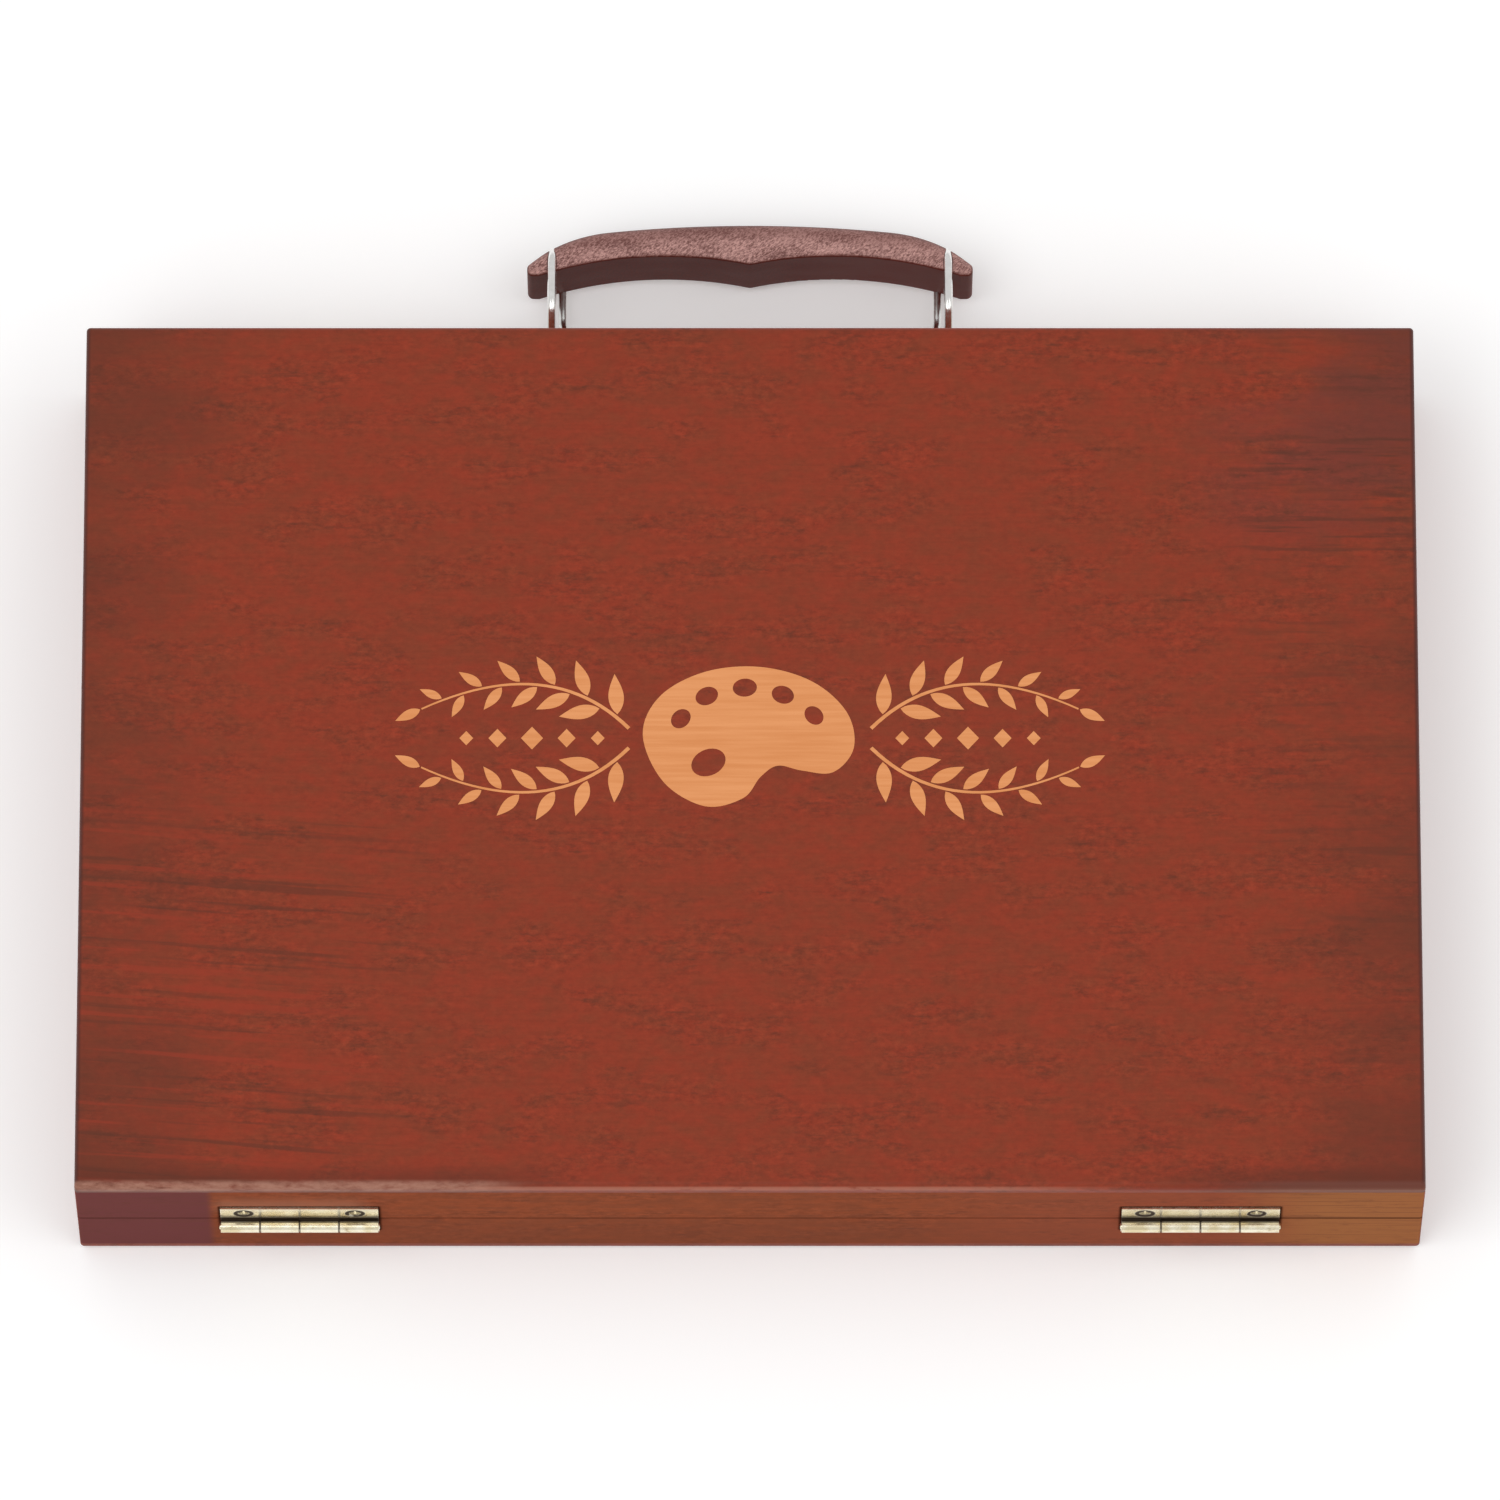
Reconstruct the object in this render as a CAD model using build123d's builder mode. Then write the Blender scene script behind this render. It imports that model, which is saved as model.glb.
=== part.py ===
from build123d import *
from math import atan2, hypot, pi, tan
import os

os.makedirs("parts", exist_ok=True)

# A flat wooden art set case that opens like a book.
# Origin: centre of the bottom face. +X along the width, +Y from the hinges to the handle, +Z up.
# All sizes are in millimetres. side is -1 on the left and +1 on the right.

# Case
case_width = 387.0
case_depth = 266.0
half_height = 26.5
wall_thickness = 9.0
panel_thickness = 4.0
edge_radius = 2.2
corner_radius = 1.0
meeting_chamfer = 0.4

case_height = 2 * half_height
wall_height = half_height - panel_thickness
hinge_face = -case_depth / 2
front_face = case_depth / 2

# Countersunk wood screws with a cross recess
screw_head_radius = 2.3
screw_head_height = 1.0
screw_shank_radius = 1.1
screw_tip_radius = 0.4
screw_tip_length = 2.0
screw_length = 7.5
screw_fit = 0.05
recess_length = 2.8
recess_width = 0.6
recess_depth = 0.5
screw_sink = 0.3
sink_margin = 0.25

# Hinges
hinge_end_inset = 64.0
leaf_length = 45.4
leaf_width = 9.7
leaf_thickness = 1.0
mortise_depth = 0.3
mortise_gap = 0.4
barrel_radius = 1.8
barrel_standoff = 2.5
neck_thickness = 0.9
barrel_gap = 0.3
knuckle_count = 4
knuckle_gap = 0.15
pin_radius = 0.9
pin_fit = 0.05
pin_overhang = 0.4
pin_end_radius = 0.36
hinge_screw_inset = 6.7
hinge_screw_rise = 6.0

hinge_spacing = case_width - 2 * hinge_end_inset
leaf_back = hinge_face + mortise_depth
leaf_front = leaf_back - leaf_thickness
hinge_axis_y = hinge_face - barrel_standoff
hinge_axis_z = half_height
knuckle_pitch = leaf_length / knuckle_count

# Handle grip. Reach is a distance from the front wall; rises and drops are from the shoulders,
# where the bails pass over the grip's back.
grip_length = 131.0
grip_thickness = 20.0
grip_shoulder_reach = 37.5
crown_rise = 7.5
haunch_rise = 5.3
haunch_end_inset = 24.0
end_outer_drop = 5.9
end_inner_drop = 9.4
scallop_drop = 3.2
scallop_spacing = 49.0
cusp_drop = 5.9
grip_outer_radius = 4.0
grip_inner_radius = 1.2
grip_end_radius = 3.5
cusp_radius = 1.5
search_tolerance = 0.01

haunch_spacing = grip_length - 2 * haunch_end_inset
grip_crown_reach = grip_shoulder_reach + crown_rise
haunch_reach = grip_shoulder_reach + haunch_rise
grip_end_outer_reach = grip_shoulder_reach - end_outer_drop
grip_end_inner_reach = grip_shoulder_reach - end_inner_drop
scallop_reach = grip_shoulder_reach - scallop_drop
cusp_reach = grip_shoulder_reach - cusp_drop

# Bails
bail_end_inset = 7.25
wire_radius = 1.3
groove_fit = 0.1
bail_bend_radius = 7.0
bail_narrowing_radius = 8.0
bail_end_radius = 1.6
bail_end_gap = 0.4
bail_cross_offset = 3.0
bail_leg_offset = 10.0
bail_narrowing_reach = 19.0
bail_fit = 0.07

# Handle plates
handle_plate_width = 27.0
handle_plate_height = 13.0
handle_plate_thickness = 1.2
handle_plate_corner = 2.0
handle_barrel_radius = 2.5
handle_barrel_gap = 0.3
handle_axis_standoff = 3.6
handle_screw_spacing = 20.0

handle_axis_y = front_face + handle_axis_standoff
handle_axis_z = half_height / 2
bail_x = grip_length / 2 - bail_end_inset
bail_end_length = (bail_leg_offset - bail_end_gap) / 2
bail_leg_run = hypot(bail_narrowing_reach - handle_axis_standoff, grip_thickness / 2)
bail_leg_drift = atan2(bail_leg_offset - bail_cross_offset, bail_leg_run)
bail_end_setback = bail_end_radius * tan(pi / 4 + bail_leg_drift / 2)

# Swing hooks and the posts that they catch
hook_end_inset = 75.5
hook_thickness = 1.4
hook_width = 5.0
hook_boss_radius = 3.4
hook_head_radius = 4.4
hook_tongue_length = 7.0
thumb_rise = 1.0
thumb_radius = 1.1
thumb_length = 5.0
hook_gap = 0.15
post_rise = 9.0
post_radius = 1.5
post_clearance = 0.3
rivet_radius = 1.2
rivet_fit = 0.05
rivet_head_radius = 2.6
rivet_head_height = 0.9
rivet_tail = 4.0
rivet_head_gap = 0.1
hook_plate_width = 21.0
hook_plate_height = 11.0
catch_plate_width = 19.0
catch_plate_height = 9.0
latch_plate_thickness = 1.0
latch_plate_corner = 1.5
latch_screw_inset = 3.4
stop_width = 3.0
stop_thickness = 1.2
stop_offset = 7.0

hook_x = case_width / 2 - hook_end_inset
hook_axis_z = half_height / 2
post_z = half_height + post_rise
hook_reach = post_z - hook_axis_z
latch_plate_face = front_face + latch_plate_thickness
hook_inner_face = latch_plate_face + hook_gap
hook_outer_face = hook_inner_face + hook_thickness

# Trays
tray_skin = 1.4
tray_gap = 0.3
tray_drop = 2.0
tray_margin = 8.0
tray_rib = 6.0
well_corner_radius = 5.0
groove_count = 12
groove_pitch = 9.0
groove_radius = 4.1
groove_depth = 3.2
finger_trough_width = 22.0
brush_well_depth = 42.0
base_well_columns = 4
lid_well_columns = 3
pencil_bed_columns = 2

tray_width = case_width - 2 * (wall_thickness + tray_gap)
tray_depth = case_depth - 2 * (wall_thickness + tray_gap)
tray_height = wall_height - tray_drop
pencil_bed_depth = groove_count * groove_pitch


def mitred_wall(side_name, floor, top):
    """One wall of a half's frame, mitred at both ends and eased along the edge where the halves meet."""
    right, back = case_width / 2, case_depth / 2
    inner_right, inner_back = right - wall_thickness, back - wall_thickness
    outlines = {
        "front": [(-right, back), (right, back), (inner_right, inner_back), (-inner_right, inner_back)],
        "hinge": [(-right, -back), (right, -back), (inner_right, -inner_back), (-inner_right, -inner_back)],
        "left": [(-right, -back), (-right, back), (-inner_right, inner_back), (-inner_right, -inner_back)],
        "right": [(right, -back), (right, back), (inner_right, inner_back), (inner_right, -inner_back)],
    }
    with BuildPart() as wall:
        with BuildSketch(Plane.XY.offset(floor)):
            RectangleRounded(case_width, case_depth, corner_radius)
        extrude(amount=top - floor)
        meeting_face = wall.faces().sort_by(lambda face: abs(face.center().Z - half_height))[0]
        chamfer(meeting_face.edges(), meeting_chamfer)
        with BuildSketch(Plane.XY.offset(floor)):
            with BuildLine():
                Polyline(*outlines[side_name], close=True)
            make_face()
        extrude(amount=top - floor, mode=Mode.INTERSECT)
    return wall.part


def panel(floor, rounded_face):
    """A board over the whole case, with its outer edge rounded all the way round."""
    with BuildPart() as board:
        with BuildSketch(Plane.XY.offset(floor)):
            RectangleRounded(case_width, case_depth, corner_radius)
        extrude(amount=panel_thickness)
        outer = board.faces().sort_by(Axis.Z)[rounded_face]
        fillet(outer.edges(), edge_radius)
    return board.part


def screw_form(fit):
    """A screw down -Z, its head a little under the plate's face at z = 0; fit grows it to cut its hole."""
    with BuildPart() as screw:
        with BuildSketch(Plane.XZ):
            with BuildLine():
                Polyline(
                    (0, -screw_sink),
                    (screw_head_radius + fit, -screw_sink),
                    (screw_shank_radius + fit, -screw_sink - screw_head_height),
                    (screw_shank_radius + fit, screw_tip_length - screw_length),
                    (screw_tip_radius + fit, -screw_length - fit),
                    (0, -screw_length - fit),
                    close=True,
                )
            make_face()
        revolve(axis=Axis.Z)
    return screw.part


def recessed_screw():
    with BuildPart() as screw:
        add(screw_form(0))
        for turn in (0, 90):
            with Locations(Location((0, 0, -screw_sink - recess_depth / 2), (0, 0, turn))):
                Box(recess_length, recess_width, recess_depth, mode=Mode.SUBTRACT)
    return screw.part


def countersunk_hole():
    """The screw's form with a flared mouth from the head up to the plate's face."""
    mouth_radius = screw_head_radius + screw_fit + sink_margin
    with BuildPart() as hole:
        add(screw_form(screw_fit))
        with Locations((0, 0, -screw_sink / 2)):
            Cone(screw_head_radius + screw_fit, mouth_radius, screw_sink)
    return hole.part


screw_solid = recessed_screw()
screw_hole = countersunk_hole()


def facing_hinge_side(x, y, z):
    return Location((x, y, z), (90, 0, 0))


def facing_front(x, y, z):
    return Location((x, y, z), (-90, 0, 0))


def hinge_screw_places(direction):
    """Screw heads in the leaves: direction is +1 in the lid's leaves and -1 in the base's."""
    run = leaf_length / 2 - hinge_screw_inset
    height = hinge_axis_z + direction * hinge_screw_rise
    return [
        facing_hinge_side(side * hinge_spacing / 2 + end * run, leaf_front, height)
        for side in (-1, 1)
        for end in (-1, 1)
    ]


def handle_plate_x(side):
    """The barrel lies between the bail's two legs, and the lower leg is the inner one."""
    return side * (bail_x - bail_leg_offset / 2)


def handle_screw_places():
    run = handle_screw_spacing / 2
    plate_face = front_face + handle_plate_thickness
    return [
        facing_front(handle_plate_x(side) + end * run, plate_face, handle_axis_z)
        for side in (-1, 1)
        for end in (-1, 1)
    ]


def latch_screw_places(plate_width, height):
    run = plate_width / 2 - latch_screw_inset
    return [
        facing_front(side * hook_x + end * run, latch_plate_face, height)
        for side in (-1, 1)
        for end in (-1, 1)
    ]


def rivet_tail_hole(height):
    """Holes in the front wall for the tails of the two rivets or posts at one height."""
    tail_centre = front_face - rivet_tail / 2
    with BuildPart() as holes:
        with Locations(*[facing_front(side * hook_x, tail_centre, height) for side in (-1, 1)]):
            Cylinder(rivet_radius + rivet_fit, rivet_tail)
    return holes.part


def hinge_wall(floor, top, direction):
    """The wall on the hinge side, with shallow mortises for the leaves."""
    with BuildPart() as wall:
        add(mitred_wall("hinge", floor, top))
        mortise_length = leaf_length + 2 * mortise_gap
        mortise_rise = leaf_width + mortise_gap
        for side in (-1, 1):
            x = side * hinge_spacing / 2
            with Locations((x, hinge_face, hinge_axis_z + direction * mortise_rise / 2)):
                Box(mortise_length, 2 * mortise_depth, mortise_rise, mode=Mode.SUBTRACT)
        with Locations(*hinge_screw_places(direction)):
            add(screw_hole, mode=Mode.SUBTRACT)
    return wall.part


def hinge_leaf(side, direction):
    """A leaf with every second knuckle, each on a neck from its plate; the others' knuckles have room."""
    first_own = 0 if direction > 0 else 1
    x_start = side * hinge_spacing / 2 - leaf_length / 2
    neck_y = (leaf_back + hinge_axis_y) / 2
    neck_z = hinge_axis_z + direction * neck_thickness / 2
    with BuildPart() as leaf:
        plate_y = (leaf_back + leaf_front) / 2
        with Locations((side * hinge_spacing / 2, plate_y, hinge_axis_z + direction * leaf_width / 2)):
            Box(leaf_length, leaf_thickness, leaf_width)
        for index in range(knuckle_count):
            x = x_start + (index + 0.5) * knuckle_pitch
            barrel_place = Location((x, hinge_axis_y, hinge_axis_z), (0, 90, 0))
            if index % 2 == first_own:
                with Locations(barrel_place):
                    Cylinder(barrel_radius, knuckle_pitch - knuckle_gap)
                with Locations((x, neck_y, neck_z)):
                    Box(knuckle_pitch - knuckle_gap, leaf_back - hinge_axis_y, neck_thickness)
            else:
                with Locations(barrel_place):
                    Cylinder(barrel_radius + barrel_gap, knuckle_pitch + knuckle_gap, mode=Mode.SUBTRACT)
        with Locations(Location((side * hinge_spacing / 2, hinge_axis_y, hinge_axis_z), (0, 90, 0))):
            Cylinder(pin_radius + pin_fit, leaf_length, mode=Mode.SUBTRACT)
        with Locations(*hinge_screw_places(direction)):
            add(screw_hole, mode=Mode.SUBTRACT)
    return leaf.part


def hinge_pin(side):
    with BuildPart() as pin:
        with Locations(Location((side * hinge_spacing / 2, hinge_axis_y, hinge_axis_z), (0, 90, 0))):
            Cylinder(pin_radius, leaf_length + 2 * pin_overhang)
        fillet(pin.edges().filter_by(GeomType.CIRCLE), pin_end_radius)
    return pin.part


def bail_wire(side, radius):
    """A wire loop that crosses the grip a little askew: its legs narrow to the barrel, one on each side."""
    outer_y = front_face + grip_shoulder_reach
    narrowing_y = front_face + bail_narrowing_reach
    half_rise = grip_thickness / 2
    upper_x = side * bail_x
    crossed_x = side * (bail_x - bail_cross_offset)
    lower_x = side * (bail_x - bail_leg_offset)
    with BuildPart() as wire:
        with BuildLine() as route:
            FilletPolyline(
                (upper_x - side * bail_end_length, handle_axis_y, handle_axis_z),
                (upper_x, handle_axis_y, handle_axis_z),
                (upper_x, narrowing_y, handle_axis_z + half_rise),
                (upper_x, outer_y, handle_axis_z + half_rise),
                (crossed_x, outer_y, handle_axis_z - half_rise),
                (crossed_x, narrowing_y, handle_axis_z - half_rise),
                (lower_x, handle_axis_y, handle_axis_z),
                (lower_x + side * bail_end_length, handle_axis_y, handle_axis_z),
                radius=[
                    bail_end_radius,
                    bail_narrowing_radius,
                    bail_bend_radius,
                    bail_bend_radius,
                    bail_narrowing_radius,
                    bail_end_radius,
                ],
            )
        with BuildSketch(Plane(origin=route.line @ 0, z_dir=route.line % 0)):
            Circle(radius)
        sweep()
    return wire.part


def handle_plate(side):
    """A screwed plate with a lug whose bore carries the two inturned ends of a bail."""
    x = handle_plate_x(side)
    lug_length = bail_leg_offset - 2 * (bail_end_setback + handle_barrel_gap)
    with BuildPart() as plate:
        with BuildSketch(Plane.XZ.offset(-front_face - handle_plate_thickness)):
            with Locations((x, handle_axis_z)):
                RectangleRounded(handle_plate_width, handle_plate_height, handle_plate_corner)
        extrude(amount=handle_plate_thickness)
        with Locations((x, front_face + handle_axis_standoff / 2, handle_axis_z)):
            Box(lug_length, handle_axis_standoff, 2 * handle_barrel_radius)
        with Locations(Location((x, handle_axis_y, handle_axis_z), (0, 90, 0))):
            Cylinder(handle_barrel_radius, lug_length)
            Cylinder(wire_radius + bail_fit, lug_length, mode=Mode.SUBTRACT)
        with Locations(*handle_screw_places()):
            add(screw_hole, mode=Mode.SUBTRACT)
    return plate.part


def hook_plate(side):
    """The plate under a swing hook, with a small stop that the hook lies on when it is swung aside."""
    with BuildPart() as plate:
        with BuildSketch(Plane.XZ.offset(-latch_plate_face)):
            with Locations((side * hook_x, hook_axis_z)):
                RectangleRounded(hook_plate_width, hook_plate_height, latch_plate_corner)
                Circle(rivet_radius + rivet_fit, mode=Mode.SUBTRACT)
        extrude(amount=latch_plate_thickness)
        stop_top = hook_axis_z - hook_width / 2 - hook_gap
        stop_x = side * (hook_x + stop_offset)
        with Locations((stop_x, (front_face + hook_outer_face) / 2, stop_top - stop_thickness / 2)):
            Box(stop_width, hook_outer_face - front_face, stop_thickness)
        with Locations(*latch_screw_places(hook_plate_width, hook_axis_z)):
            add(screw_hole, mode=Mode.SUBTRACT)
    return plate.part


def catch_plate(side):
    with BuildPart() as plate:
        with BuildSketch(Plane.XZ.offset(-latch_plate_face)):
            with Locations((side * hook_x, post_z)):
                RectangleRounded(catch_plate_width, catch_plate_height, latch_plate_corner)
                Circle(rivet_radius + rivet_fit, mode=Mode.SUBTRACT)
        extrude(amount=latch_plate_thickness)
        with Locations(*latch_screw_places(catch_plate_width, post_z)):
            add(screw_hole, mode=Mode.SUBTRACT)
    return plate.part


def headed_pin(side, height, neck_radius):
    """A rivet or post in the front wall: a tail in the wood, a neck on the plate and a domed head."""
    tail_start = front_face - rivet_tail
    neck_end = hook_outer_face + rivet_head_gap
    lower_left = (Align.MIN, Align.MIN)
    with BuildPart() as pin:
        with BuildSketch(Plane.XY):
            with Locations((0, tail_start)):
                Rectangle(rivet_radius, latch_plate_face - tail_start, align=lower_left)
            with Locations((0, latch_plate_face)):
                Rectangle(neck_radius, neck_end - latch_plate_face, align=lower_left)
            with BuildLine():
                Polyline((0, neck_end + rivet_head_height), (0, neck_end), (rivet_head_radius, neck_end))
                RadiusArc(
                    (0, neck_end + rivet_head_height),
                    (rivet_head_radius, neck_end),
                    (rivet_head_radius**2 + rivet_head_height**2) / (2 * rivet_head_height),
                )
            make_face()
        revolve(axis=Axis.Y)
    return pin.part.moved(Location((side * hook_x, 0, height)))


def swing_hook(side):
    """A flat arm on its rivet, turned aside; its slot is an arc round the rivet and opens upwards."""
    slot_width = 2 * (post_radius + post_clearance)
    rest_x = side * (hook_x + hook_reach)
    tongue_x = rest_x + side * hook_tongue_length / 2
    thumb_x = rest_x + side * (hook_tongue_length - thumb_radius)
    with BuildPart() as hook:
        with BuildSketch(Plane.XZ.offset(-hook_outer_face)):
            with Locations((side * hook_x, hook_axis_z)):
                Circle(hook_boss_radius)
            with Locations((side * (hook_x + hook_reach / 2), hook_axis_z)):
                Rectangle(hook_reach, hook_width)
            with Locations((rest_x, hook_axis_z)):
                Circle(hook_head_radius)
            with Locations((tongue_x, hook_axis_z)):
                Rectangle(hook_tongue_length, thumb_length)
            with Locations((side * hook_x, hook_axis_z)):
                Circle(rivet_radius + rivet_fit, mode=Mode.SUBTRACT)
        extrude(amount=hook_thickness)
        with BuildSketch(Plane.XZ.offset(-hook_outer_face)):
            with Locations((side * hook_x, hook_axis_z)):
                Circle(hook_reach + slot_width / 2)
                Circle(hook_reach - slot_width / 2, mode=Mode.SUBTRACT)
            with Locations((rest_x, hook_axis_z + hook_head_radius)):
                Rectangle(2 * hook_head_radius, 2 * hook_head_radius, mode=Mode.INTERSECT)
            with Locations((rest_x, hook_axis_z)):
                Circle(slot_width / 2)
        extrude(amount=hook_thickness, mode=Mode.SUBTRACT)
        with BuildSketch(Plane.XZ.offset(-hook_outer_face - thumb_rise)):
            with Locations((thumb_x, hook_axis_z)):
                SlotOverall(thumb_length, 2 * thumb_radius, rotation=90)
        extrude(amount=thumb_rise)
    return hook.part


def grip():
    """The wooden grip: a flat arch with steeper haunches, two scallops and the bails' grooves."""
    end_x = grip_length / 2
    with BuildPart() as body:
        with BuildSketch(Plane.XY.offset(handle_axis_z - grip_thickness / 2)) as outline:
            with BuildLine():
                crown = ThreePointArc(
                    (-haunch_spacing / 2, front_face + haunch_reach),
                    (0, front_face + grip_crown_reach),
                    (haunch_spacing / 2, front_face + haunch_reach),
                )
                for side, start, heading in ((-1, crown @ 0, -(crown % 0)), (1, crown @ 1, crown % 1)):
                    TangentArc(start, (side * bail_x, front_face + grip_shoulder_reach), tangent=heading)
                    Polyline(
                        (side * bail_x, front_face + grip_shoulder_reach),
                        (side * end_x, front_face + grip_end_outer_reach),
                        (side * end_x, front_face + grip_end_inner_reach),
                        (side * (end_x - grip_end_radius), front_face + grip_end_inner_reach),
                    )
                    ThreePointArc(
                        (side * (end_x - grip_end_radius), front_face + grip_end_inner_reach),
                        (side * scallop_spacing / 2, front_face + scallop_reach),
                        (0, front_face + cusp_reach),
                    )
            make_face()
            ends = outline.vertices().filter_by(lambda point: abs(point.X) > end_x - search_tolerance)
            fillet(ends, grip_end_radius / 2)
            cusp = outline.vertices().filter_by(lambda point: abs(point.X) < search_tolerance)
            fillet(cusp, cusp_radius)
        extrude(amount=grip_thickness)
        shoulder_y = front_face + grip_shoulder_reach
        rims = body.edges().filter_by(lambda edge: edge.bounding_box().size.Z < search_tolerance)
        fillet(rims.filter_by(lambda edge: edge.center().Y > shoulder_y), grip_outer_radius)
        fillet(rims.filter_by(lambda edge: edge.center().Y < shoulder_y), grip_inner_radius)
        for side in (-1, 1):
            add(bail_wire(side, wire_radius + groove_fit), mode=Mode.SUBTRACT)
    return body.part


def row_of_wells(near_y, depth, columns):
    """Equal wells side by side, as (centre x, centre y, width, depth)."""
    usable = tray_width - 2 * tray_margin - (columns - 1) * tray_rib
    width = usable / columns
    left = -tray_width / 2 + tray_margin
    return [
        (left + width / 2 + column * (width + tray_rib), near_y + depth / 2, width, depth)
        for column in range(columns)
    ]


def base_layout():
    """Two pencil beds on the handle side and a row of wells on the hinge side."""
    beds_y = tray_depth / 2 - tray_margin - pencil_bed_depth
    wells_y = -tray_depth / 2 + tray_margin
    wells_depth = beds_y - tray_rib - wells_y
    beds = row_of_wells(beds_y, pencil_bed_depth, pencil_bed_columns)
    wells = row_of_wells(wells_y, wells_depth, base_well_columns)
    return beds, wells


def lid_layout():
    """A long brush well on the handle side, two pencil beds and a row of wells on the hinge side."""
    brush_y = tray_depth / 2 - tray_margin - brush_well_depth
    beds_y = brush_y - tray_rib - pencil_bed_depth
    wells_y = -tray_depth / 2 + tray_margin
    wells_depth = beds_y - tray_rib - wells_y
    beds = row_of_wells(beds_y, pencil_bed_depth, pencil_bed_columns)
    wells = row_of_wells(wells_y, wells_depth, lid_well_columns)
    brush_well = row_of_wells(brush_y, brush_well_depth, 1)
    return beds, wells + brush_well


ridge_top = tray_skin + groove_depth


def tray(layout, floor):
    """A moulded tray, open side up: a rim plate, a skirt and wells that stand on the board below."""
    beds, wells = layout
    skin = 2 * tray_skin
    with BuildPart() as moulding:
        with BuildSketch(Plane.XY.offset(floor)):
            Rectangle(tray_width, tray_depth)
        extrude(amount=tray_height)
        with BuildSketch(Plane.XY.offset(floor)):
            Rectangle(tray_width - skin, tray_depth - skin)
        extrude(amount=tray_height - tray_skin, mode=Mode.SUBTRACT)
        with BuildSketch(Plane.XY.offset(floor)):
            for x, y, width, depth in beds + wells:
                with Locations((x, y)):
                    RectangleRounded(width + skin, depth + skin, well_corner_radius + tray_skin)
        extrude(amount=tray_height)
        with BuildSketch(Plane.XY.offset(floor + tray_skin)):
            for x, y, width, depth in wells:
                with Locations((x, y)):
                    RectangleRounded(width, depth, well_corner_radius)
        extrude(amount=tray_height - tray_skin, mode=Mode.SUBTRACT)
        with BuildSketch(Plane.XY.offset(floor + ridge_top)):
            for x, y, width, depth in beds:
                with Locations((x, y)):
                    RectangleRounded(width, depth, well_corner_radius)
        extrude(amount=tray_height - ridge_top, mode=Mode.SUBTRACT)
        for x, y, width, depth in beds:
            with BuildSketch(Plane.YZ.offset(x - width / 2 + well_corner_radius)):
                for groove in range(groove_count):
                    groove_y = y - depth / 2 + (groove + 0.5) * groove_pitch
                    with Locations((groove_y, floor + ridge_top - groove_depth + groove_radius)):
                        Circle(groove_radius)
            extrude(amount=width - 2 * well_corner_radius, mode=Mode.SUBTRACT)
            with Locations((x, y, floor + tray_skin + groove_depth / 2)):
                Box(finger_trough_width, depth - 2 * well_corner_radius, groove_depth, mode=Mode.SUBTRACT)
    return moulding.part


# Base half
with BuildPart() as base_front_wall:
    add(mitred_wall("front", panel_thickness, half_height))
    with Locations(*handle_screw_places(), *latch_screw_places(hook_plate_width, hook_axis_z)):
        add(screw_hole, mode=Mode.SUBTRACT)
    add(rivet_tail_hole(hook_axis_z), mode=Mode.SUBTRACT)
base_front_wall.part.label = "base_front_wall"
export_step(base_front_wall.part, "parts/base_front_wall.step")

with BuildPart() as base_hinge_wall:
    add(hinge_wall(panel_thickness, half_height, -1))
base_hinge_wall.part.label = "base_hinge_wall"
export_step(base_hinge_wall.part, "parts/base_hinge_wall.step")

for side_name in ("left", "right"):
    with BuildPart() as base_side_wall:
        add(mitred_wall(side_name, panel_thickness, half_height))
    base_side_wall.part.label = f"base_{side_name}_wall"
    export_step(base_side_wall.part, f"parts/base_{side_name}_wall.step")

with BuildPart() as base_panel:
    add(panel(0, 0))
base_panel.part.label = "base_panel"
export_step(base_panel.part, "parts/base_panel.step")

with BuildPart() as base_tray:
    add(tray(base_layout(), panel_thickness))
base_tray.part.label = "base_tray"
export_step(base_tray.part, "parts/base_tray.step")

# Lid half
with BuildPart() as lid_front_wall:
    add(mitred_wall("front", half_height, case_height - panel_thickness))
    with Locations(*latch_screw_places(catch_plate_width, post_z)):
        add(screw_hole, mode=Mode.SUBTRACT)
    add(rivet_tail_hole(post_z), mode=Mode.SUBTRACT)
lid_front_wall.part.label = "lid_front_wall"
export_step(lid_front_wall.part, "parts/lid_front_wall.step")

with BuildPart() as lid_hinge_wall:
    add(hinge_wall(half_height, case_height - panel_thickness, 1))
lid_hinge_wall.part.label = "lid_hinge_wall"
export_step(lid_hinge_wall.part, "parts/lid_hinge_wall.step")

for side_name in ("left", "right"):
    with BuildPart() as lid_side_wall:
        add(mitred_wall(side_name, half_height, case_height - panel_thickness))
    lid_side_wall.part.label = f"lid_{side_name}_wall"
    export_step(lid_side_wall.part, f"parts/lid_{side_name}_wall.step")

with BuildPart() as lid_panel:
    add(panel(case_height - panel_thickness, -1))
lid_panel.part.label = "lid_panel"
export_step(lid_panel.part, "parts/lid_panel.step")

with BuildPart() as lid_tray:
    add(tray(lid_layout(), panel_thickness))
    mirror(about=Plane.XY.offset(half_height), mode=Mode.REPLACE)
lid_tray.part.label = "lid_tray"
export_step(lid_tray.part, "parts/lid_tray.step")

# Hinges
for side, side_name in ((-1, "left"), (1, "right")):
    for direction, half_name in ((-1, "base"), (1, "lid")):
        with BuildPart() as leaf:
            add(hinge_leaf(side, direction))
        leaf.part.label = f"{side_name}_hinge_{half_name}_leaf"
        export_step(leaf.part, f"parts/{side_name}_hinge_{half_name}_leaf.step")
    with BuildPart() as pin:
        add(hinge_pin(side))
    pin.part.label = f"{side_name}_hinge_pin"
    export_step(pin.part, f"parts/{side_name}_hinge_pin.step")

# Handle
with BuildPart() as handle_grip:
    add(grip())
handle_grip.part.label = "handle_grip"
export_step(handle_grip.part, "parts/handle_grip.step")

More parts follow.
